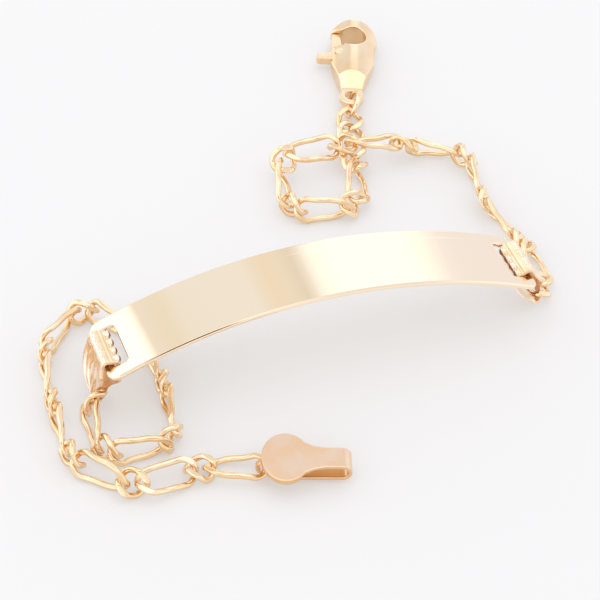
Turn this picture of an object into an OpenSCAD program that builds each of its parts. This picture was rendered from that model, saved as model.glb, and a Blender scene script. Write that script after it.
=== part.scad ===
// Identity bracelet in yellow gold, lying open on a flat surface.
// X runs along the name plate, Y across it, Z up from the surface.

/* [Name plate] */
// Length of the plate, measured along its curve
plate_len = 44; // [38:0.5:48]
// Width of the plate
plate_w = 8.3; // [7.5:0.1:9.5]
// Thickness of the plate
plate_t = 0.5; // [0.4:0.05:0.7]
// Radius of the plate's curve, measured to its top face
plate_r = 51.7; // [46:0.1:60]
// Radius of the plate's four corners
plate_corner = 1.1; // [0.5:0.1:2]
// Bevel along the plate's two long top edges
plate_bevel = 0.12; // [0.05:0.01:0.2]
// Height of the plate's top face at its ends above the surface
plate_lift = 5.3; // [5.2:0.1:6]
// Tilt of the plate about its length, near edge up
plate_tilt = 8; // [0:1:12]

/* [Slots] */
// Length of each slot, across the plate
slot_len = 5.3; // [5:0.1:6]
// Width of each slot, along the plate
slot_w = 1.45; // [1.3:0.05:1.8]
// Radius of the slots' corners
slot_corner = 0.3; // [0.1:0.05:0.5]
// Metal left between a slot and the plate's end
bar_w = 0.95; // [0.7:0.05:1.1]

/* [Bails] */
// Width of a bail where it wraps round the bar
bail_w = 4.8; // [4.2:0.1:4.9]
// Thickness of the bail's sheet
bail_t = 0.35; // [0.25:0.05:0.45]
// Length from the bar to the middle of the bail's eye
bail_len = 4.15; // [3.8:0.05:4.3]
// Half the inner distance between the bail's two leaves where they pass the bar
wrap_r = 0.62; // [0.6:0.01:0.8]
// Inner height of the wrap above the middle of the bar
wrap_h = 0.57; // [0.56:0.01:0.7]
// Inner radius of the eye that holds the chain
eye_r = 0.64; // [0.6:0.01:0.7]
// Width of the bail at its eye
eye_w = 0.56; // [0.5:0.02:0.6]
// Outward swell of the bail's two leaves
bail_swell = 0.15; // [0:0.05:0.2]
// Height of the flutes
flute_h = 0.16; // [0.05:0.01:0.25]
// Height of the beads
bead_h = 0.3; // [0.1:0.01:0.4]
// Number of flutes, and of beads in a row
flutes = 4; // [4:1:6]
// Slope of the left bail, down from the plate
left_pitch = 80; // [70:1:85]
// Slope of the right bail, down from the plate
right_pitch = 66; // [60:1:75]
// Drift of the bails' eyes towards the near side
bail_drift = 0.66; // [0:0.02:0.7]
// Twist of the bails' eyes about their length
bail_twist = 42; // [35:1:45]

/* [Chain] */
// Outer width of every link
link_w = 3; // [2.8:0.05:3.2]
// Outer length of a short link
short_len = 3.3; // [3.2:0.05:3.6]
// Outer length of a long link
long_len = 6.25; // [6.15:0.05:6.35]
// Diameter of the wire
wire_d = 0.6; // [0.5:0.02:0.64]
// Gap between the wires of two links that pull on each other
wire_gap = 0.3; // [0.28:0.02:0.34]
// Twist of a short link's ends
short_twist = 50; // [44:1:54]
// Twist of a long link's ends
long_twist = 44; // [38:1:48]
// Thickness across the links' filed faces
link_t = 1.2; // [1.1:0.05:1.4]
// Links in the left chain
left_count = 22; // [20:2:22]
// Links in the right chain
right_count = 21; // [19:2:21]

/* [End tag] */
// Length of the tag's disc
disc_l = 4.5; // [4:0.1:5]
// Width of the tag's disc
disc_w = 5.6; // [5:0.1:6]
// Thickness of the tag's disc
disc_t = 0.6; // [0.4:0.05:0.8]
// Width of the tag's tail
tail_w = 2.3; // [1.8:0.1:2.8]
// Thickness of the tag's strap
tag_t = 0.36; // [0.3:0.02:0.4]
// Length from the tag's eye to the middle of its end bend
tag_len = 6.9; // [6:0.1:8]
// Inner height of the tag's loop
loop_h = 1.22; // [1.1:0.02:1.6]

/* [Clasp] */
// Length from the clasp's eye to the middle of its hook
clasp_len = 8.6; // [8:0.1:9.4]
// Thickness of the clasp
clasp_t = 2.5; // [2.3:0.1:2.8]
// Outer radius of the hook
hook_r = 2.6; // [2.5:0.05:2.9]
// Inner radius of the hook
hook_in_r = 1.4; // [1.3:0.05:1.6]
// Outer radius of the clasp's eye
tail_eye_r = 1.3; // [1.2:0.05:1.4]
// Inner radius of the clasp's eye
tail_eye_in_r = 0.66; // [0.64:0.01:0.7]
// Thickness of the trigger
trigger_t = 0.9; // [0.7:0.05:1.1]
// Play between the trigger and the cheeks of its slot
trigger_play = 0.12; // [0.08:0.01:0.2]
// Diameter of the rivet
pin_d = 0.7; // [0.6:0.05:0.8]
// Play of the trigger on its rivet, all round
pin_play = 0.04; // [0.02:0.01:0.08]

/* [Clasp ring] */
// Outer diameter of the ring between chain and clasp
ring_d = 3.2; // [3.1:0.05:3.4]
// Diameter of the ring's wire
ring_wire_d = 0.5; // [0.4:0.02:0.56]

/* [Hidden] */
gold = "#e3b968";
pale_gold = "#f0d7a2";
deep_gold = "#c99a4d";
big = 40;
fine = 96;

// Place of the plate's middle on the surface
plate_x = 0.84;
plate_y = -12.06;

// Lay of the left chain, one row for each link from the bail on:
// heading, roll about its length, lift of its far end above the surface
left_lay = [
    [-134, 66, 0], [-94, 74, 0], [-48, 82, 0], [-2, 87, 0],
    [44, 90, 0], [84, 90, 0], [88, 90, 0], [94, 90, 0],
    [108, 90, 0], [130, 90, 0], [176, 90, 0], [222, 90, 0],
    [250, 90, 0], [262, 90, 0], [268, 90, 0], [268, 90, 0],
    [290, 88, 0], [314, 72, 0], [340, 48, 0], [366, 24, 0],
    [360, 6, 0], [343, -10, 0.25],
];

// Lay of the right chain, as above; it passes over its own last but one link
right_lay = [
    [48, 30, 0], [86, 37, 0], [108, 46, 0], [104, 56, 0],
    [88, 66, 0], [84, 76, 0], [116, 78, 0], [154, 62, 0.15],
    [166, 44, 0.9], [170, 26, 1.5], [172, 10, 1.55], [178, -10, 1.15],
    [218, -36, 0.5], [260, -62, 0], [304, -86, 0], [348, -94, 0],
    [394, -112, 0], [434, -136, 0], [438, -160, 0], [434, -180, 0.1],
    [430, -180, 0.47],
];

function name_of(side, k) = str(side, "_link_", k < 10 ? "0" : "", k);

// Turns of a point about the three axes
function turn_x(p, a) = [p.x, p.y*cos(a) - p.z*sin(a), p.y*sin(a) + p.z*cos(a)];
function turn_y(p, a) = [p.x*cos(a) + p.z*sin(a), p.y, p.z*cos(a) - p.x*sin(a)];
function turn_z(p, a) = [p.x*cos(a) - p.y*sin(a), p.x*sin(a) + p.y*cos(a), p.z];
function unit(v) = v/norm(v);

// The plate's curve: its centre lies below the plate's ends
half_angle = plate_len/plate_r/2*180/PI;
centre_z = -plate_r*cos(half_angle);
mid_r = plate_r - plate_t/2;
bar_angle = half_angle - bar_w/2/plate_r*180/PI;
slot_angle = half_angle - (bar_w + slot_w/2)/plate_r*180/PI;

module on_plate() translate([plate_x, plate_y, plate_lift]) rotate([-plate_tilt, 0, 0]) children();
function on_plate(p) = [plate_x, plate_y, plate_lift] + turn_x(p, -plate_tilt);

// Bails: local X runs from the bar to the eye, local Y along the bar, local Z outward
function pitch(side) = side > 0 ? right_pitch : left_pitch;
function bar_middle(side) = [side*mid_r*sin(bar_angle), 0, centre_z + mid_r*cos(bar_angle)];
function eye_place(side) = on_plate(bar_middle(side)
    + turn_z(turn_y([bail_len, -side*bail_drift, 0], pitch(side)), side > 0 ? 0 : 180));

// Closed path of the bail's sheet, seen from the side, as rows of
// along, height, shares of the full width, flutes, beads and twist, and share of the drift
wrap_steps = 8;
leaf_steps = 8;
eye_steps = 6;
wrap_mid = wrap_r + bail_t/2;
wrap_top = wrap_h + bail_t/2;
eye_mid = eye_r + bail_t/2;
function taper(u) = u < 0.2 ? 1 : pow(cos((u - 0.2)/0.8*90), 1.8);
function leaf_row(u, up) = let(n = wrap_mid + (eye_mid - wrap_mid)*u + bail_swell*sin(180*u))
    [bail_len*u, up*n, taper(u), sin(180*pow(u, 0.8)), 0, u*u, u];
function squared(c) = sign(c)*pow(abs(c), 0.6);
bail_path = concat(
    [for (i = [0:wrap_steps]) let(a = 90 + 180*i/wrap_steps)
        [wrap_top*squared(cos(a)), wrap_mid*squared(sin(a)), 1, 0, i == 2 || i == 6 ? 1 : 0, 0, 0]],
    [for (i = [1:leaf_steps - 1]) leaf_row(i/leaf_steps, -1)],
    [for (i = [0:eye_steps]) let(a = -90 + 180*i/eye_steps)
        [bail_len + eye_mid*cos(a), eye_mid*sin(a), 0, 0, 0, 1, 1]],
    [for (i = [1:leaf_steps - 1]) leaf_row(1 - i/leaf_steps, 1)]
);

// Skin over rings of points, closed both round each ring and from last ring to first
function closed_skin(rings, n) = [for (i = [0:rings - 1], j = [0:n - 1])
    let(a = i*n + j, b = i*n + (j + 1)%n, c = (i + 1)%rings*n + j, d = (i + 1)%rings*n + (j + 1)%n)
    each [[a, b, d], [a, d, c]]];

module bail(side) {
    cuts = 2*flutes;
    count = len(bail_path);
    points = [for (i = [0:count - 1])
        let(p = bail_path[i], q = bail_path[(i + count - 1)%count], r = bail_path[(i + 1)%count],
            t = unit([r[0] - q[0], r[1] - q[1]]), out = [t[1], -t[0]],
            half = (eye_w + (bail_w - eye_w)*p[2])/2, relief = flute_h*p[3] + bead_h*p[4])
        each [for (q = concat(
            [for (k = [0:cuts]) let(o = bail_t/2 + (k%2)*relief)
                [p[0] + out[0]*o, half*(1 - 2*k/cuts), p[1] + out[1]*o]],
            [for (k = [-1, 1]) [p[0] - out[0]*bail_t/2, half*k, p[1] - out[1]*bail_t/2]]))
            turn_x(q, -bail_twist*p[5]) - [0, side*bail_drift*p[6], 0]]];
    color(pale_gold)
    on_plate() translate(bar_middle(side)) rotate([0, 0, side > 0 ? 0 : 180]) rotate([0, pitch(side), 0])
        polyhedron(points, closed_skin(count, cuts + 3), convexity = 6);
}

// Flat shape with round corners
module round_plate(l, w, r) {
    square([l - 2*r, w], center = true);
    square([l, w - 2*r], center = true);
    for (x = [-1, 1], y = [-1, 1]) translate([x*(l/2 - r), y*(w/2 - r)]) circle(r, $fn = fine);
}

module plate() {
    reach = plate_r*sin(half_angle);
    color(gold) on_plate() difference() {
        intersection() {
            translate([0, 0, centre_z]) rotate([90, 0, 0]) rotate([0, 0, 90 - half_angle])
                rotate_extrude(angle = 2*half_angle, $fn = 4*fine) polygon([
                    [plate_r - plate_t, -plate_w/2], [plate_r - plate_t, plate_w/2],
                    [plate_r - plate_bevel, plate_w/2], [plate_r, plate_w/2 - plate_bevel],
                    [plate_r, plate_bevel - plate_w/2], [plate_r - plate_bevel, -plate_w/2]]);
            translate([0, 0, -big/2]) linear_extrude(big) round_plate(2*reach, plate_w, plate_corner);
        }
        for (side = [-1, 1]) translate([0, 0, centre_z]) rotate([0, side*slot_angle, 0])
            translate([0, 0, plate_r - 2*plate_t]) linear_extrude(3*plate_t)
                round_plate(slot_w, slot_len, slot_corner);
    }
}

// Links: an oval of wire whose two ends are twisted, with filed faces
bend_r = (link_w - wire_d)/2;
overlap = (wire_d + wire_gap)/2;
function half_len(long) = ((long ? long_len : short_len) - wire_d)/2;
function oval(u, half) = let(flat = half - bend_r, run = 2*PI*bend_r + 4*flat, d = u*run, q = PI*bend_r/2)
    d < q ? [flat + bend_r*cos(d/bend_r*180/PI), bend_r*sin(d/bend_r*180/PI)] :
    d < q + 2*flat ? [flat - d + q, bend_r] :
    d < 3*q + 2*flat ? let(a = (d - 2*flat)/bend_r*180/PI) [bend_r*cos(a) - flat, bend_r*sin(a)] :
    d < 3*q + 4*flat ? [d - 3*q - 3*flat, -bend_r] :
    let(a = (d - 4*flat)/bend_r*180/PI) [flat + bend_r*cos(a), bend_r*sin(a)];
function wire_row(u, half, twist, power) =
    let(p = oval(u, half), t = twist*sign(p.x)*pow(abs(p.x)/half, power))
    [p.x, p.y*cos(t), p.y*sin(t), t];
function filed(p) = [p.x, p.y, max(-link_t/2, min(link_t/2, p.z))];

module link(long) {
    sides = 6;
    cuts = long ? 16 : 12;
    half = half_len(long);
    row = [for (i = [0:cuts - 1]) wire_row(i/cuts, half, long ? long_twist : short_twist, long ? 2 : 1)];
    points = [for (i = [0:cuts - 1])
        let(a = row[(i + cuts - 1)%cuts], b = row[(i + 1)%cuts], p = row[i],
            t = unit([b.x - a.x, b.y - a.y, b.z - a.z]), up0 = [0, -sin(p[3]), cos(p[3])],
            up = unit(up0 - (up0*t)*t), out = cross(t, up))
        for (j = [0:sides - 1]) let(g = 360*(j + 0.5)/sides)
            filed([p.x, p.y, p.z] + wire_d/2*(cos(g)*out + sin(g)*up))];
    polyhedron(points, closed_skin(cuts, sides), convexity = 6);
}

// Height of a link's middle line when it rests on the surface at a given roll
bed = 0.03;
function rest_height(roll) = link_w/2 - (link_w - link_t)/2*pow(1 - abs(sin(roll)), 1.5) + bed;

// Joints of the chain: each lies one chord further along its link's heading,
// high enough for both of the links that meet there to clear the surface
function is_long(k) = k%2 == 0;
function chord(k, count) = 2*half_len(is_long(k)) - (k == 1 ? 0 : overlap) - (k == count ? 0 : overlap);
function joint_z(rows, k, count) =
    rows[k - 1][2] + max(rest_height(rows[k - 1][1]), k < count ? rest_height(rows[k][1]) : 0);
function joints(rows, count, from, k) = k > count ? [from] :
    let(a = rows[k - 1][0], z = joint_z(rows, k, count), rise = z - from.z,
        run = sqrt(pow(chord(k, count), 2) - rise*rise))
    concat([from], joints(rows, count, [from.x + run*cos(a), from.y + run*sin(a), z], k + 1));
left_joints = joints(left_lay, left_count, eye_place(-1), 1);
right_joints = joints(right_lay, right_count, eye_place(1), 1);

// Frame of a link from joint a to joint b, its middle a set way back from a
module along(a, b, back, roll) {
    x = unit(b - a);
    up = unit([0, 0, 1] - x.z*x);
    y = cross(up, x);
    m = a + back*x;
    multmatrix([[x.x, y.x, up.x, m.x], [x.y, y.y, up.y, m.y], [x.z, y.z, up.z, m.z], [0, 0, 0, 1]])
        rotate([roll, 0, 0]) children();
}
module chain_link(row, rows, k) {
    color(is_long(k) ? gold : deep_gold)
        along(row[k - 1], row[k], half_len(is_long(k)) - (k == 1 ? 0 : overlap), rows[k - 1][1])
            link(is_long(k));
}
module left_link(k) chain_link(left_joints, left_lay, k);
module right_link(k) chain_link(right_joints, right_lay, k);

// Outline from rows of place and half width, and flat shapes drawn across local Y and along local Z
function both_sides(rows) = concat(rows, [for (i = [len(rows) - 1:-1:0]) [rows[i].x, -rows[i].y]]);
module strap(w) rotate([90, 0, 0]) linear_extrude(w, center = true) children();
module slab(t) translate([0, 0, -t/2]) linear_extrude(t) children();

// End tag: local X runs from its eye to its end bend
left_end = left_joints[left_count];
left_heading = left_lay[left_count - 1][0];
tag_eye_r = eye_r + tag_t;
disc_clear = 0.2;
disc_low = link_t/2 + disc_clear;
disc_x = disc_l/2 - 0.5;
// Half width of the neck between disc and tail, at places past the disc's middle
neck = [[0, 2.4], [1.6, 1.85], [2.6, 1.35], [3.6, tail_w/2]];
loop_x = disc_l/2 + 0.4;
loop_out = loop_h/2 + tag_t;
loop_z = disc_low + disc_t - loop_out;
module end_tag() {
    color(pale_gold) translate(left_end) rotate([0, 0, left_heading]) difference() {
        union() {
            strap(eye_w) circle(tag_eye_r, $fn = fine);
            translate([disc_x, 0, disc_low]) scale([disc_l/disc_w, 1, 1])
                cylinder(h = disc_t, d = disc_w, $fn = fine);
            translate([disc_x, 0, disc_low + disc_t - tag_t]) linear_extrude(tag_t)
                polygon(both_sides(neck));
            strap(tail_w) translate([tag_len, loop_z]) circle(loop_out, $fn = fine);
            strap(tail_w) translate([loop_x, loop_z - loop_out]) square([tag_len - loop_x, 2*loop_out]);
        }
        strap(2*eye_w) circle(eye_r, $fn = fine);
        strap(2*tail_w) translate([tag_len, loop_z]) circle(loop_h/2, $fn = fine);
        strap(2*tail_w) translate([loop_x + tag_t, loop_z - loop_h/2])
            square([tag_len - loop_x - tag_t, loop_h]);
    }
}

// Ring of the clasp: it leans over, through the last link and the clasp's eye
right_end = right_joints[right_count];
right_heading = right_lay[right_count - 1][0];
ring_r = (ring_d - ring_wire_d)/2;
ring_tilt = 25;
ring_gap = 0.12;
ring_sag = 0.08;
ring_z = ring_r*cos(ring_tilt) + ring_wire_d/2;
link_drop = (ring_z - right_end.z)/cos(ring_tilt);
eye_drop = (ring_z - clasp_t/2)/cos(ring_tilt);
function within(r, drop) = sqrt(r*r - drop*drop);
ring_x = within(ring_r - ring_wire_d/2 - wire_d/2 - ring_gap, link_drop);
ring_y = -link_drop*sin(ring_tilt);
module at_ring() translate([right_end.x, right_end.y, 0]) rotate([0, 0, right_heading]) children();
module clasp_ring() {
    color(deep_gold) at_ring() translate([ring_x, ring_y, ring_z]) rotate([90 + ring_tilt, 0, 0])
        rotate_extrude($fn = fine) translate([ring_r, 0]) circle(ring_wire_d/2, $fn = 32);
}

// Clasp: local X runs from its eye to its hook, lying flat on the surface
clasp_x = ring_x + within(ring_r, eye_drop) - ring_sag;
clasp_y = ring_y + eye_drop*sin(ring_tilt);
eye_t = 0.8;
dome_r = 4;
dome_len = 16;
// Half width of the shank, and half thickness of the whole clasp, at places along it
shank = [[0, 0.95], [1.8, 1.3], [clasp_len - 3.6, 2.35], [clasp_len - 1.2, 2.3]];
wedge = [[-2, eye_t/2], [1.1, eye_t/2], [6, clasp_t], [13, clasp_t]];
// Pivot of the trigger; the shapes after it are measured from there
pivot = [clasp_len - 2.4, 1.5];
hub_r = 0.85;
trigger_reach = 3.4;
lever = [[-0.1, -0.6], [0, 0.83], [3.7, 0.8], [3.7, -0.05]];
thumb = [[-0.75, 0], [0.5, 0], [0.15, 1.9], [-0.65, 1.9]];
thumb_end = [-0.25, 1.9];
thumb_r = 0.45;
tip_gap = 0.06;
mouth_low = -0.6;
mouth_size = [5, 4];
pocket_low = [-1.2, -1.7];
pocket_size = [3.6, 5];
pocket_t = trigger_t + 2*trigger_play;
pin_len = 1.84;
pin_fit = 0.01;
module at_clasp() at_ring() translate([clasp_x, clasp_y, clasp_t/2]) children();
module dome(up) translate([-2, 0, up*(clasp_t/2 - dome_r)]) rotate([0, 90, 0])
    cylinder(r = dome_r, h = dome_len, $fn = fine);
module bore(d) translate([0, 0, -clasp_t]) cylinder(d = d, h = 2*clasp_t, $fn = fine);
module clasp_body() {
    color(gold) at_clasp() difference() {
        intersection() {
            union() {
                slab(2*clasp_t) polygon(both_sides(shank));
                slab(3*clasp_t) circle(tail_eye_r, $fn = fine);
                slab(4*clasp_t) translate([clasp_len, 0]) circle(hook_r, $fn = fine);
            }
            strap(3*hook_r) polygon(both_sides(wedge));
            dome(-1);
            dome(1);
        }
        bore(2*tail_eye_in_r);
        translate([clasp_len, 0, 0]) bore(2*hook_in_r);
        slab(2*clasp_t) intersection() {
            translate(pivot) circle(trigger_reach + tip_gap, $fn = fine);
            translate([clasp_len - hook_in_r, pivot.y + mouth_low]) square(mouth_size);
        }
        slab(pocket_t) translate(pivot + pocket_low) square(pocket_size);
        translate(pivot) bore(pin_d + 2*pin_fit);
    }
}
module clasp_trigger() {
    color(pale_gold) at_clasp() translate(pivot) difference() {
        slab(trigger_t) {
            circle(hub_r, $fn = fine);
            intersection() {
                circle(trigger_reach, $fn = fine);
                polygon(lever);
            }
            polygon(thumb);
            translate(thumb_end) circle(thumb_r, $fn = fine);
        }
        bore(pin_d + 2*pin_play);
    }
}
module clasp_pin() {
    color(deep_gold) at_clasp() translate([pivot.x, pivot.y, -pin_len/2])
        cylinder(d = pin_d, h = pin_len, $fn = fine);
}

plate();
bail(-1);  // left_bail
bail(1);  // right_bail
for (k = [1:left_count]) left_link(k);
for (k = [1:right_count]) right_link(k);
end_tag();
clasp_ring();
clasp_body();
clasp_trigger();
clasp_pin();
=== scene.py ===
# Identity bracelet in yellow gold, lying open: its looks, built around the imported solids.
from math import cos, exp, pi, radians, sin, sqrt

import bmesh
import bpy
from mathutils import Matrix, Quaternion, Vector


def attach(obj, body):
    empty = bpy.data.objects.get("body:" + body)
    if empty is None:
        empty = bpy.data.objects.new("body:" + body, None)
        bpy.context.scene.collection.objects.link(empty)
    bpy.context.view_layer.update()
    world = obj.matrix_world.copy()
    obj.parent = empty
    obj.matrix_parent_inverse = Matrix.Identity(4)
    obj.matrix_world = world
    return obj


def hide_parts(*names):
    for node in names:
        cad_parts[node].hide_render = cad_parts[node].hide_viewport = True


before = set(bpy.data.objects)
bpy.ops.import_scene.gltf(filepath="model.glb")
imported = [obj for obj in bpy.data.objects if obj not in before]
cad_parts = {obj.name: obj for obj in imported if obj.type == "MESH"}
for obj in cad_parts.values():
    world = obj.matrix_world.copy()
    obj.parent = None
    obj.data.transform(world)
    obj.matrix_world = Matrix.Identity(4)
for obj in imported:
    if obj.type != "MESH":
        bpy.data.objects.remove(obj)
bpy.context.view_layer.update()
scene = bpy.context.scene
mm = 0.001  # every size below is in millimetres

camera = {
    "place": (-59.03, -161.6, 179.7),
    "aim": (1.49, -6.21, 0),
    "roll": 3.76,  # degrees, its right side up
    "lens": 150,
    "sensor": 36,
    "clip": (1, 10000),
}


def makeCamera():
    data = bpy.data.cameras.new("camera")
    data.lens = camera["lens"]
    data.sensor_width = camera["sensor"]
    data.clip_start, data.clip_end = (end * mm for end in camera["clip"])
    made = bpy.data.objects.new("camera", data)
    scene.collection.objects.link(made)
    place, aim = Vector(camera["place"]) * mm, Vector(camera["aim"]) * mm
    made.location = place
    made.rotation_mode = "QUATERNION"
    turn = Quaternion((0, 0, 1), radians(camera["roll"]))
    made.rotation_quaternion = (aim - place).to_track_quat("-Z", "Y") @ turn
    scene.camera = made


makeCamera()
print("camera placed")


# Wraps a socket of a node, so that shader maths reads as an expression
class Value:
    def __init__(self, shader, socket):
        self.shader, self.socket = shader, socket

    def maths(self, operation, first, second=0.0):
        return self.shader.node("ShaderNodeMath", {"operation": operation}, {0: first, 1: second})

    def __add__(self, other):
        return self.maths("ADD", self, other)

    def __sub__(self, other):
        return self.maths("SUBTRACT", self, other)

    def __rsub__(self, other):
        return self.maths("SUBTRACT", other, self)

    def __mul__(self, other):
        return self.maths("MULTIPLY", self, other)

    __radd__ = __add__
    __rmul__ = __mul__


class Shader:
    def __init__(self, owner):
        owner.use_nodes = True
        self.tree = owner.node_tree
        self.tree.nodes.clear()

    # Settings go in before the sockets; "stops" are a ramp's places and colours
    def node(self, kind, settings=None, sockets=None, out=0):
        made = self.tree.nodes.new(kind)
        for name, setting in (settings or {}).items():
            if name == "stops":
                ramp = made.color_ramp.elements
                while len(ramp) < len(setting):
                    ramp.new(1)
                for stop, (place, colour) in zip(ramp, setting):
                    stop.position = place
                    stop.color = (*colour, 1)
            else:
                setattr(made, name, setting)
        for name, value in (sockets or {}).items():
            if isinstance(value, Value):
                self.tree.links.new(value.socket, made.inputs[name])
            else:
                made.inputs[name].default_value = value
        return Value(self, made.outputs[out]) if made.outputs else None

    def mixed(self, factor, first, second):
        ends = [c if isinstance(c, Value) else (*c, 1) for c in (first, second)]
        return self.node("ShaderNodeMix", {"data_type": "RGBA"}, {0: factor, 6: ends[0], 7: ends[1]}, 2)

    def noise(self, where, size, detail):
        return self.node("ShaderNodeTexNoise", None,
                         {"Vector": where, "Scale": 1 / (size * mm), "Detail": detail})

    def smooth(self, value, low, high):
        return self.node("ShaderNodeMapRange", {"interpolation_type": "SMOOTHSTEP"},
                         {"Value": value, "From Min": low, "From Max": high})


# A white room of soft panels for the metal to mirror, with one small dim place in front
room = {
    # degrees round from straight behind the bracelet, clockwise from above, and the light there
    "panels": [
        (-180, (0.95, 0.93, 0.93)), (-166, (0.90, 0.87, 0.85)), (-158, (1.35, 1.33, 1.36)),
        (-120, (1.40, 1.37, 1.40)), (-70, (1.40, 1.37, 1.40)), (-32, (1.50, 1.50, 1.50)),
        (-18.6, (1.50, 1.50, 1.50)), (-17, (0.89, 0.88, 0.88)), (-13, (0.87, 0.85, 0.79)),
        (-9.5, (0.89, 0.91, 0.94)), (4, (0.90, 0.93, 0.97)), (8.6, (0.885, 0.83, 0.74)),
        (11, (0.87, 0.85, 0.80)), (14.4, (0.81, 0.78, 0.74)), (15.4, (0.90, 0.89, 0.90)),
        (16.8, (1.10, 1.12, 1.20)), (21, (1.42, 1.42, 1.42)), (32, (1.40, 1.40, 1.40)),
        (37, (0.93, 0.95, 1.05)), (44, (0.92, 0.92, 1.00)), (70, (1.10, 1.10, 1.13)),
        (140, (1.20, 1.18, 1.20)), (156, (0.87, 0.85, 0.83)), (170, (1.00, 0.98, 0.97)),
        (179, (0.95, 0.93, 0.93)),
    ],
    "shoulder": (0.90, 0.87, 0.88), "shoulderFrom": (0.60, 0.72),  # sines of the heights where each sets in
    "overhead": (1.45, 1.45, 1.48), "overheadFrom": (0.80, 0.90),
    "dim": (0.16, 0.05, 0.01), "dimToward": (-0.16, -0.57, 0.80),
    "dimEdge": (0.985, 0.999),  # cosines of the half angles where it starts and where it is full
    "strength": 1.0,
}


def makeRoom():
    world = bpy.data.worlds.new("room")
    scene.world = world
    s = Shader(world)
    way = s.node("ShaderNodeTexCoord", out="Generated")
    x, y, z = (s.node("ShaderNodeSeparateXYZ", None, {0: way}, axis) for axis in range(3))
    around = x.maths("ARCTAN2", x, y) * (0.5 / pi) + 0.5  # 0 to 1 round the walls, from the front
    stops = [((angle + 180) / 360, colour) for angle, colour in room["panels"]]
    walls = s.node("ShaderNodeValToRGB", {"stops": stops}, {0: around})
    shoulder = s.mixed(s.smooth(z, *room["shoulderFrom"]), walls, room["shoulder"])
    upper = s.mixed(s.smooth(z, *room["overheadFrom"]), shoulder, room["overhead"])
    toward = Vector(room["dimToward"]).normalized()
    facing = x * toward.x + y * toward.y + z * toward.z
    seen = s.mixed(s.smooth(facing, *room["dimEdge"]), upper, room["dim"])
    light = s.node("ShaderNodeBackground", None, {"Color": seen, "Strength": room["strength"]})
    s.node("ShaderNodeOutputWorld", None, {"Surface": light})
    scene.view_settings.view_transform = "Standard"


makeRoom()
print("room lit")


# Puts a mesh piece in the scene, in place of the CAD node that it stands for
def addPiece(name, points, faces, material, node, body="bracelet", hollows=None):
    mesh = bpy.data.meshes.new(name)
    mesh.from_pydata([tuple(Vector(p) * mm) for p in points], [], faces)
    if hollows:
        layer = mesh.attributes.new("hollow", "FLOAT", "POINT")
        layer.data.foreach_set("value", hollows)
    mesh.polygons.foreach_set("use_smooth", [True] * len(mesh.polygons))
    mesh.materials.append(material)
    mesh.update()
    piece = bpy.data.objects.new(name, mesh)
    scene.collection.objects.link(piece)
    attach(piece, body)
    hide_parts(node)
    return piece


# Faces of a skin over rings of points; both ways round it closes on itself
def ringFaces(rings, around):
    return [(i * around + j, i * around + (j + 1) % around,
             (i + 1) % rings * around + (j + 1) % around, (i + 1) % rings * around + j)
            for i in range(rings) for j in range(around)]


# Each gold has a bright tone and a deep one; the deep tone shows at random in cloudy patches, and as painted
# shade in grooves and on faces turned down
golds = {
    "plate_gold": {
        "colour": (0.985, 0.835, 0.64), "deep": (0.98, 0.825, 0.625),
        "cloud": 9, "grain": 0.35, "stretch": (0.12, 1, 1),  # sizes of patches and scratches, how drawn out
        "roughness": 0.035, "spread": 0.02, "bump": 0.03,
        "shadeUnder": 0, "turns": (0, 0.5),  # share of the deep tone painted as shade on faces turned down, and the normal's heights where it sets in
    },
    "bail_gold": {
        "colour": (0.985, 0.85, 0.71), "deep": (0.92, 0.68, 0.42),
        "cloud": 1.2, "grain": 0.16, "stretch": (1, 1, 1),
        "roughness": 0.12, "spread": 0.10, "bump": 0.20,
        "shadeUnder": 0.1, "turns": (-0.5, 0.3),
        # painted shade: an orange-brown for the fold's inner face and a dark red-brown for the wrap's side
        # towards the slot
        "inside": (0.85, 0.50, 0.25), "slotShade": (0.30, 0.09, 0.02),
    },
    "link_gold": {
        "colour": (0.97, 0.79, 0.56), "deep": (0.86, 0.57, 0.27),
        "cloud": 2.5, "grain": 0.25, "stretch": (1, 1, 1),
        "roughness": 0.13, "spread": 0.08, "bump": 0.10,
        "shadeUnder": 0.6, "turns": (-0.3, 0.6),
    },
    "tag_gold": {
        "colour": (0.89, 0.70, 0.54), "deep": (0.85, 0.54, 0.27),
        "cloud": 3, "grain": 0.2, "stretch": (1, 0.4, 1),
        "roughness": 0.2, "spread": 0.08, "bump": 0.12,
        "shadeUnder": 0.9, "turns": (-0.2, 0.75),
    },
    "clasp_gold": {
        "colour": (0.96, 0.78, 0.56), "deep": (0.88, 0.60, 0.33),
        "cloud": 3, "grain": 0.3, "stretch": (1, 1, 1),
        "roughness": 0.16, "spread": 0.08, "bump": 0.08,
        "shadeUnder": 0.6, "turns": (-0.3, 0.6),
    },
}
# Shared noise, relief and roughness of the golds, with the bails' painted shade in their hollows
wearAndShade = {
    "detail": 3, "cloudFrom": (0.35, 0.7), "cloudShare": 0.5, "relief": 0.02,
    "level": 0.6,  # taken off the roughness pattern, so that it goes both ways
    # the bails' hollow value is up to 1 in a groove, more inside the fold and most on the wrap's slot side;
    # each paints shade there, deeper as the value grows
    "hollowShadeShare": 0.7, "hollowRelief": 2,
    "insideFrom": (1.05, 1.4), "insideShadeDull": 0.55, "slotShadeFrom": (1.5, 2),
}


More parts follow.
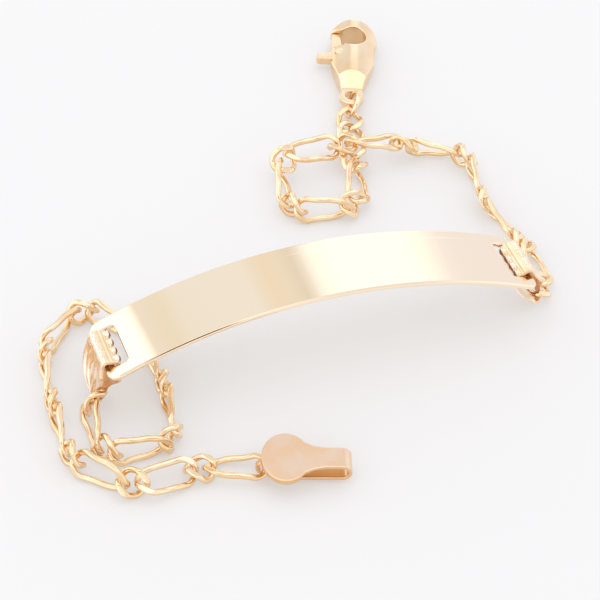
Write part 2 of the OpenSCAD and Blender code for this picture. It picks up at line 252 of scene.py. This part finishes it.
def goldFinish(name, look):
    material = bpy.data.materials.new(name)
    s = Shader(material)
    where = s.node("ShaderNodeTexCoord", out="Object")
    drawn = s.node("ShaderNodeVectorMath", {"operation": "MULTIPLY"}, {0: where, 1: look["stretch"]})
    cloud = s.smooth(s.noise(where, look["cloud"], wearAndShade["detail"]), *wearAndShade["cloudFrom"])
    grain = s.noise(drawn, look["grain"], wearAndShade["detail"])
    up = s.node("ShaderNodeSeparateXYZ", None, {0: s.node("ShaderNodeNewGeometry", out="Normal")}, 2)
    # deep tone: random cloudy patches, plus painted shade on faces turned down
    patchesAndShade = cloud * wearAndShade["cloudShare"] + (1 - s.smooth(up, *look["turns"])) * look["shadeUnder"]
    uneven = grain + cloud * wearAndShade["cloudShare"] - wearAndShade["level"]
    height, metallic = grain, 1
    # bails only: the hollow value mixes in painted shade, an orange-brown, less metallic painted shade inside
    # the fold and a dark red-brown painted shade on the slot side; it also roughens the surface and raises
    # the bump
    if "inside" in look:
        hollow = s.node("ShaderNodeAttribute", {"attribute_name": "hollow"}, None, 2)
        inside = s.smooth(hollow, *wearAndShade["insideFrom"])
        patchesAndShade = patchesAndShade + hollow * wearAndShade["hollowShadeShare"]
        uneven = uneven + hollow
        height = grain + hollow * cloud * wearAndShade["hollowRelief"]
        metallic = 1 - inside * wearAndShade["insideShadeDull"]
    colour = s.mixed(patchesAndShade, look["colour"], look["deep"])
    if "inside" in look:
        colour = s.mixed(inside, colour, look["inside"])
        colour = s.mixed(s.smooth(hollow, *wearAndShade["slotShadeFrom"]), colour, look["slotShade"])
    bump = s.node("ShaderNodeBump", None, {
        "Strength": look["bump"], "Distance": wearAndShade["relief"] * mm, "Height": height})
    shiny = s.node("ShaderNodeBsdfPrincipled", None, {
        "Base Color": colour, "Metallic": metallic, "Roughness": look["roughness"] + look["spread"] * uneven,
        "Normal": bump})
    s.node("ShaderNodeOutputMaterial", None, {"Surface": shiny})
    return material


gold = {name: goldFinish(name, look) for name, look in golds.items()}
print("gold mixed")

plate = {
    "length": 44, "width": 8.3, "thickness": 0.5, "radius": 51.7,  # radius of the arch's outer face
    "corner": 1.1, "cornerSteps": 10, "edge": 0.19, "edgeCuts": 2,
    "place": (0.84, -12.06, 5.3), "tilt": 8,  # middle of the line between its ends; degrees, far edge down
    "slotLength": 5.3, "slotWidth": 1.45, "slotCorner": 0.3, "bar": 0.95,
    "bendStep": 0.4, "merge": 0.002, "onCut": 0.0005,
    "sharp": 20, "flatShare": 90, "flatReach": 0.01,
}
halfAngle = plate["length"] / plate["radius"] / 2
centreZ = -plate["radius"] * cos(halfAngle)
onPlate = Matrix.Translation(plate["place"]) @ Matrix.Rotation(radians(-plate["tilt"]), 4, "X")


def roundedOutline(middle, long, wide, corner):
    points = []
    for quarter, (sx, sy) in enumerate(((1, 1), (-1, 1), (-1, -1), (1, -1))):
        for step in range(plate["cornerSteps"] + 1):
            angle = (quarter + step / plate["cornerSteps"]) * pi / 2
            points.append((middle + sx * (long / 2 - corner) + corner * cos(angle),
                           sy * (wide / 2 - corner) + corner * sin(angle)))
    return points


# The plate is cut out flat, sliced across, and bent over its arch
def makePlate():
    edge = plate["edge"]
    curve = bpy.data.curves.new("plate", "CURVE")
    curve.dimensions, curve.fill_mode = "2D", "BOTH"
    curve.extrude = plate["thickness"] / 2 - edge
    curve.bevel_depth, curve.bevel_resolution, curve.offset = edge, plate["edgeCuts"], -edge
    slotMiddle = plate["length"] / 2 - plate["bar"] - plate["slotWidth"] / 2
    outlines = [roundedOutline(0, plate["length"], plate["width"], plate["corner"])]
    slot = plate["slotWidth"], plate["slotLength"], plate["slotCorner"]
    outlines += [roundedOutline(side * slotMiddle, *slot) for side in (-1, 1)]
    for outline in outlines:
        spline = curve.splines.new("POLY")
        spline.points.add(len(outline) - 1)
        for point, (x, y) in zip(spline.points, outline):
            point.co = (x, y, 0, 1)
        spline.use_cyclic_u = True
    flat = bpy.data.objects.new("flat", curve)
    scene.collection.objects.link(flat)
    mesh = bpy.data.meshes.new_from_object(flat.evaluated_get(bpy.context.evaluated_depsgraph_get()))
    bpy.data.objects.remove(flat)
    work = bmesh.new()
    work.from_mesh(mesh)
    bmesh.ops.remove_doubles(work, verts=work.verts, dist=plate["merge"])
    cuts = int(plate["length"] / plate["bendStep"])
    for cut in range(1, cuts):
        bmesh.ops.bisect_plane(work, geom=work.verts[:] + work.edges[:] + work.faces[:], dist=plate["onCut"],
                               plane_co=((cut / cuts - 0.5) * plate["length"], 0, 0), plane_no=(1, 0, 0))
    for v in work.verts:
        angle = v.co.x / plate["radius"]
        out = plate["radius"] - plate["thickness"] / 2 + v.co.z
        v.co = onPlate @ Vector((out * sin(angle), v.co.y, centreZ + out * cos(angle)))
    bmesh.ops.recalc_face_normals(work, faces=work.faces)
    points = [v.co.copy() for v in work.verts]
    faces = [[v.index for v in f.verts] for f in work.faces]
    work.free()
    piece = addPiece("plate_polished", points, faces, gold["plate_gold"], "plate")
    piece.data.set_sharp_from_angle(angle=radians(plate["sharp"]))
    even = piece.modifiers.new("even", "WEIGHTED_NORMAL")
    even.mode, even.weight, even.thresh = "FACE_AREA", plate["flatShare"], plate["flatReach"]
    even.keep_sharp = True


makePlate()
print("plate bent")

# Bails: sheet folded round the plate's bar and drawn in to an eye for the chain; left is -1 and right is 1
bailShape = {
    "width": 4.8, "eyeWidth": 0.56, "sheet": 0.35, "length": 4.15,
    "wrapHalf": 0.62, "wrapHeight": 0.57, "square": 0.6, "eyeRadius": 0.64, "swell": 0.15,
    "broad": 0.2, "drawIn": 1.8,  # share of the leaf that keeps its width, and how fast the rest narrows
    "pitch": {-1: 80, 1: 66}, "drift": 0.66, "twist": 42,  # degrees down from the plate, sideways, degrees
    "beads": 4, "rows": ((0.8, 0.34, 0.15), (-0.78, 0.44, 0.17)),  # place over the wrap, radius, how far sunk
    "beadLean": 1.6, "bare": 0.03,  # less lift than this counts as bare sheet
    "channel": 0.48, "channelTop": -0.5, "lineDepth": 0.045, "linePitch": 0.14,
    "flutes": 5, "fluteHeight": 0.15, "fluteStart": 1.7, "fluteRound": 0.7,
    "rim": 0.12, "rimDrop": 0.08, "slotShade": -0.8,  # past this height, the side towards the slot gets a dark painted shade
    # hollow values that paint shade: in the flutes' grooves, in the bare channel between the bead rows, on
    # the inner face and on the slot side
    "hollow": {"flute": 0.55, "channel": 0.9, "inside": 1.5, "slotShade": 2},
    "steps": {"wrap": 64, "leaf": 48, "eye": 24}, "across": 112, "inside": 10, "sharp": 50,
}
barAngle = halfAngle - plate["bar"] / 2 / plate["radius"]
middleRadius = plate["radius"] - plate["thickness"] / 2
wrapHalf = bailShape["wrapHalf"] + bailShape["sheet"] / 2  # both to the middle of the sheet
wrapTop = bailShape["wrapHeight"] + bailShape["sheet"] / 2


def bailFrame(side):
    bar = (side * middleRadius * sin(barAngle), 0, centreZ + middleRadius * cos(barAngle))
    return (onPlate @ Matrix.Translation(bar) @ Matrix.Rotation(0 if side > 0 else pi, 4, "Z")
            @ Matrix.Rotation(radians(bailShape["pitch"][side]), 4, "Y"))


def squared(c):
    return (1 if c > 0 else -1) * abs(c) ** bailShape["square"]


# Rows of the bail's closed path: along, height, shares of width and flutes, whether it wraps, share of drift
def bailPath():
    b = bailShape
    eye = b["eyeRadius"] + b["sheet"] / 2
    steps = b["steps"]

    def leaf(u, up):
        height = wrapHalf + (eye - wrapHalf) * u + b["swell"] * sin(pi * u)
        narrowing = (u - b["broad"]) / (1 - b["broad"])
        wide = 1 if narrowing < 0 else max(0, cos(narrowing * pi / 2)) ** b["drawIn"]
        return b["length"] * u, up * height, wide, sin(pi * u ** b["fluteStart"]), False, u

    rows = []
    for i in range(steps["wrap"] + 1):
        a = radians(90 + 180 * i / steps["wrap"])
        rows.append((wrapTop * squared(cos(a)), wrapHalf * squared(sin(a)), 1, 0, True, 0))
    rows += [leaf(i / steps["leaf"], -1) for i in range(1, steps["leaf"])]
    for i in range(steps["eye"] + 1):
        a = radians(-90 + 180 * i / steps["eye"])
        rows.append((b["length"] + eye * cos(a), eye * sin(a), 0, 0, False, 1))
    rows += [leaf(1 - i / steps["leaf"], 1) for i in range(1, steps["leaf"])]
    return rows


# Middles and radii of the beads, each a ball sunk in the wrap
def beadMiddles():
    b = bailShape
    middles = []
    for share, radius, sunk in b["rows"]:
        rise = (1 - abs(share) ** (2 / b["square"])) ** (b["square"] / 2)
        way = Vector((-rise * wrapTop, share * wrapHalf))
        out = Vector((way.x * b["beadLean"], way.y)).normalized()
        at = way + out * (b["sheet"] / 2 - sunk)
        middles += [(Vector((at.x, ((k + 0.5) / b["beads"] * 2 - 1) * b["width"] / 2, at.y)), radius)
                    for k in range(b["beads"])]
    return middles


# How far a point of the wrap moves out to lie on the nearest bead
def beadLift(point, out, middles):
    best = 0
    for middle, radius in middles:
        away = point - middle
        beside = away.dot(out)
        spare = radius * radius - away.dot(away) + beside * beside  # above 0, the way out meets the ball
        if spare > 0:
            best = max(best, sqrt(spare) - beside)
    return best


def makeBail(side, name, node):
    b, hollow = bailShape, bailShape["hollow"]
    path, across, inside, middles = bailPath(), b["across"], b["inside"], beadMiddles()
    place = bailFrame(side)
    points, hollows = [], []
    for i, (along, height, wide, fluted, wraps, drift) in enumerate(path):
        before, after = path[i - 1], path[(i + 1) % len(path)]
        way = Vector((after[0] - before[0], after[1] - before[1])).normalized()
        out = Vector((way.y, -way.x))
        half = (b["eyeWidth"] + (b["width"] - b["eyeWidth"]) * wide) / 2
        channel = wraps and along < b["channelTop"] and abs(height) < b["channel"]
        lines = b["lineDepth"] * (0.5 + 0.5 * cos(2 * pi * height / b["linePitch"])) if channel else 0
        ring = []
        for k in range(across + 1):  # outer face, from edge to edge
            v = 1 - 2 * k / across
            near = ((v + 1) / 2 * b["flutes"]) % 1 - 0.5
            flute = abs(cos(pi * near)) ** b["fluteRound"]
            rim = max(0, (abs(v) * half - (half - b["rim"])) / b["rim"])
            worn = b["rimDrop"] * (1 - sqrt(max(0, 1 - min(1, rim) ** 2)))
            lift = b["sheet"] / 2 + b["fluteHeight"] * fluted * flute - worn - lines
            base = Vector((along + out.x * lift, half * v, height + out.y * lift))
            bead = beadLift(base, Vector((out.x, 0, out.y)), middles) if wraps else 0
            ring.append((base.x + out.x * bead, base.y, base.z + out.y * bead))
            # the hollow value paints shade in the flutes' grooves and the bare channel, and darkest on the
            # wrap's slot side
            groove = fluted * (1 - flute) * hollow["flute"]
            if channel and bead < b["bare"]:
                groove += hollow["channel"]
            inSlotShade = wraps and ring[-1][2] < b["slotShade"]
            hollows.append(hollow["slotShade"] if inSlotShade else min(1, groove))
        for k in range(inside + 1):  # and back along the inner face
            v = -1 + 2 * k / inside
            ring.append((along - out.x * b["sheet"] / 2, half * v, height - out.y * b["sheet"] / 2))
            # the inner face gets the painted shade of inside the fold
            hollows.append(hollow["inside"])
        turn = Matrix.Rotation(radians(-b["twist"] * drift * drift), 4, "X")
        shift = Matrix.Translation((0, -side * b["drift"] * drift, 0))
        points += [place @ shift @ turn @ Vector(p) for p in ring]
    faces = ringFaces(len(path), across + inside + 2)
    piece = addPiece(name, points, faces, gold["bail_gold"], node, hollows=hollows)
    piece.data.set_sharp_from_angle(angle=radians(b["sharp"]))


makeBail(-1, "left_bail_fluted", "left_bail")
makeBail(1, "right_bail_fluted", "right_bail")
print("bails folded")

linkShape = {
    "width": 3.0, "short": 3.3, "long": 6.25, "wire": 0.6, "gap": 0.3,
    "shortTwist": (50, 1), "longTwist": (44, 2),  # degrees at the ends, and the power that it grows by
    "filed": 1.2, "filedEdge": 0.04,  # thickness between the filed faces, and how softly they begin
    "bed": 0.03, "settle": 1.5,  # clear of the floor, and how fast a link sinks as it rolls flat
    "cuts": {False: 72, True: 96}, "sides": 20,  # rings along a short and a long link
}
# Each link's heading and roll in degrees and the lift of its far end, from the bail on
leftLay = [
    (-134, 66, 0), (-94, 74, 0), (-48, 82, 0), (-2, 87, 0),
    (44, 90, 0), (84, 90, 0), (88, 90, 0), (94, 90, 0),
    (108, 90, 0), (130, 90, 0), (176, 90, 0), (222, 90, 0),
    (250, 90, 0), (262, 90, 0), (268, 90, 0), (268, 90, 0),
    (290, 88, 0), (314, 72, 0), (340, 48, 0), (366, 24, 0),
    (360, 6, 0), (343, -10, 0.25),
]
rightLay = [
    (48, 30, 0), (86, 37, 0), (108, 46, 0), (104, 56, 0),
    (88, 66, 0), (84, 76, 0), (116, 78, 0), (154, 62, 0.15),
    (166, 44, 0.9), (170, 26, 1.5), (172, 10, 1.55), (178, -10, 1.15),
    (218, -36, 0.5), (260, -62, 0), (304, -86, 0), (348, -94, 0),
    (394, -112, 0), (434, -136, 0), (438, -160, 0), (434, -180, 0.1),
    (430, -180, 0.47),
]
bendRadius = (linkShape["width"] - linkShape["wire"]) / 2
overlap = (linkShape["wire"] + linkShape["gap"]) / 2


def halfLength(isLong):
    return ((linkShape["long"] if isLong else linkShape["short"]) - linkShape["wire"]) / 2


def restHeight(roll):
    s = linkShape
    sunk = (1 - abs(sin(radians(roll)))) ** s["settle"]
    return s["width"] / 2 - (s["width"] - s["filed"]) / 2 * sunk + s["bed"]


def chainJoints(lay, start):
    joints = [start]
    for k, (heading, roll, lift) in enumerate(lay, 1):
        rest = restHeight(roll)
        if k < len(lay):
            rest = max(rest, restHeight(lay[k][1]))
        chord = 2 * halfLength(k % 2 == 0) - (k > 1) * overlap - (k < len(lay)) * overlap
        rise = lift + rest - joints[-1].z
        run = sqrt(chord * chord - rise * rise)
        a = radians(heading)
        joints.append(joints[-1] + Vector((run * cos(a), run * sin(a), rise)))
    return joints


# Point of a link's oval centre line at a distance along it
def ovalPoint(d, half):
    flat, quarter = half - bendRadius, pi * bendRadius / 2
    if d < quarter:
        a = d / bendRadius
        return flat + bendRadius * cos(a), bendRadius * sin(a)
    if d < quarter + 2 * flat:
        return flat - d + quarter, bendRadius
    if d < 3 * quarter + 2 * flat:
        a = (d - 2 * flat) / bendRadius
        return bendRadius * cos(a) - flat, bendRadius * sin(a)
    if d < 3 * quarter + 4 * flat:
        return d - 3 * quarter - 3 * flat, -bendRadius
    a = (d - 4 * flat) / bendRadius
    return flat + bendRadius * cos(a), bendRadius * sin(a)


# Rings of points round the wire of one link, about the link's middle
def linkRings(isLong):
    s = linkShape
    half = halfLength(isLong)
    cuts, sides = s["cuts"][isLong], s["sides"]
    twist, power = s["longTwist"] if isLong else s["shortTwist"]
    run = 2 * pi * bendRadius + 4 * (half - bendRadius)
    centre, ups = [], []
    for i in range(cuts):
        x, y = ovalPoint(i / cuts * run, half)
        t = radians(twist) * (1 if x > 0 else -1) * (abs(x) / half) ** power
        centre.append(Vector((x, y * cos(t), y * sin(t))))
        ups.append(Vector((0, -sin(t), cos(t))))
    limit, edge = s["filed"] / 2, s["filedEdge"]
    points = []
    for i in range(cuts):
        way = (centre[(i + 1) % cuts] - centre[i - 1]).normalized()
        up = (ups[i] - ups[i].dot(way) * way).normalized()
        out = way.cross(up)
        for j in range(sides):
            g = 2 * pi * (j + 0.5) / sides
            p = centre[i] + s["wire"] / 2 * (cos(g) * out + sin(g) * up)
            over = abs(p.z) - (limit - edge)
            if over > 0:
                p.z = (1 if p.z > 0 else -1) * (limit - edge * exp(-over / edge))
            points.append(p)
    return points


linkMeshes = {isLong: linkRings(isLong) for isLong in (False, True)}


def makeLinks(side, lay, joints):
    for k, (start, end) in enumerate(zip(joints, joints[1:]), 1):
        isLong = k % 2 == 0
        x = (end - start).normalized()
        up = (Vector((0, 0, 1)) - x.z * x).normalized()
        y = up.cross(x)
        middle = start + (halfLength(isLong) - (k > 1) * overlap) * x
        turn = Matrix((x, y, up)).transposed().to_4x4()
        place = Matrix.Translation(middle) @ turn @ Matrix.Rotation(radians(lay[k - 1][1]), 4, "X")
        node = f"{side}_link_{k:02d}"
        points = [place @ p for p in linkMeshes[isLong]]
        faces = ringFaces(linkShape["cuts"][isLong], linkShape["sides"])
        addPiece(node + "_wire", points, faces, gold["link_gold"], node)


for side, name, lay in ((-1, "left", leftLay), (1, "right", rightLay)):
    eye = bailFrame(side) @ Vector((bailShape["length"], -side * bailShape["drift"], 0))
    makeLinks(name, lay, chainJoints(lay, eye))
    print(name, "chain linked")

# End tag and clasp are the solids with softened edges
softness = {
    "end_tag": {
        "piece": "end_tag_folded", "body": "bracelet", "gold": "tag_gold", "voxel": 0.05, "rounds": 6},
    "clasp_body": {
        "piece": "clasp_body_cast", "body": "bracelet", "gold": "clasp_gold", "voxel": 0.06, "rounds": 12},
    "clasp_trigger": {
        "piece": "clasp_trigger_cast", "body": "trigger", "gold": "clasp_gold", "voxel": 0.05, "rounds": 8},
}
easing, cornerGap = 0.5, 0.0005  # how far each round smooths, and the gap closed at shared corners
plainPieces = ("clasp_ring", "clasp_pin")


def softened(node, look):
    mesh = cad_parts[node].data.copy()
    mesh.transform(Matrix.Scale(1 / mm, 4))
    rough = bpy.data.objects.new("rough", mesh)
    scene.collection.objects.link(rough)
    weld = rough.modifiers.new("weld", "WELD")
    weld.merge_threshold = cornerGap
    remesh = rough.modifiers.new("even", "REMESH")
    remesh.mode, remesh.voxel_size = "VOXEL", look["voxel"]
    ease = rough.modifiers.new("ease", "SMOOTH")
    ease.factor, ease.iterations = easing, look["rounds"]
    soft = bpy.data.meshes.new_from_object(rough.evaluated_get(bpy.context.evaluated_depsgraph_get()))
    bpy.data.objects.remove(rough)
    points = [v.co.copy() for v in soft.vertices]
    faces = [tuple(p.vertices) for p in soft.polygons]
    return addPiece(look["piece"], points, faces, gold[look["gold"]], node, look["body"])


for node, look in softness.items():
    made = softened(node, look)
    print(node, "softened,", len(made.data.polygons), "faces")
for node in plainPieces:
    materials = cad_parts[node].data.materials
    materials.clear()
    materials.append(gold["clasp_gold"])

floor = {
    "size": 4000, "drop": 0.01, "colour": (0.5, 0.5, 0.502), "shade": (0.48, 0.478, 0.482), "cloud": 60,
    "detail": 2, "roughness": 0.7, "glow": 0.36,
}


def makeFloor():
    size = floor["size"] * mm / 2
    mesh = bpy.data.meshes.new("floor")
    corners = [(x * size, y * size, -floor["drop"] * mm) for x, y in ((-1, -1), (1, -1), (1, 1), (-1, 1))]
    mesh.from_pydata(corners, [], [(0, 1, 2, 3)])
    made = bpy.data.objects.new("floor", mesh)
    scene.collection.objects.link(made)
    material = bpy.data.materials.new("floor_matt")
    s = Shader(material)
    cloud = s.noise(s.node("ShaderNodeTexCoord", out="Object"), floor["cloud"], floor["detail"])
    matt = s.node("ShaderNodeBsdfPrincipled", None, {
        "Base Color": s.mixed(cloud, floor["colour"], floor["shade"]), "Roughness": floor["roughness"],
        "Emission Color": (1, 1, 1, 1), "Emission Strength": floor["glow"]})
    s.node("ShaderNodeOutputMaterial", None, {"Surface": matt})
    mesh.materials.append(material)


makeFloor()
print("floor laid")
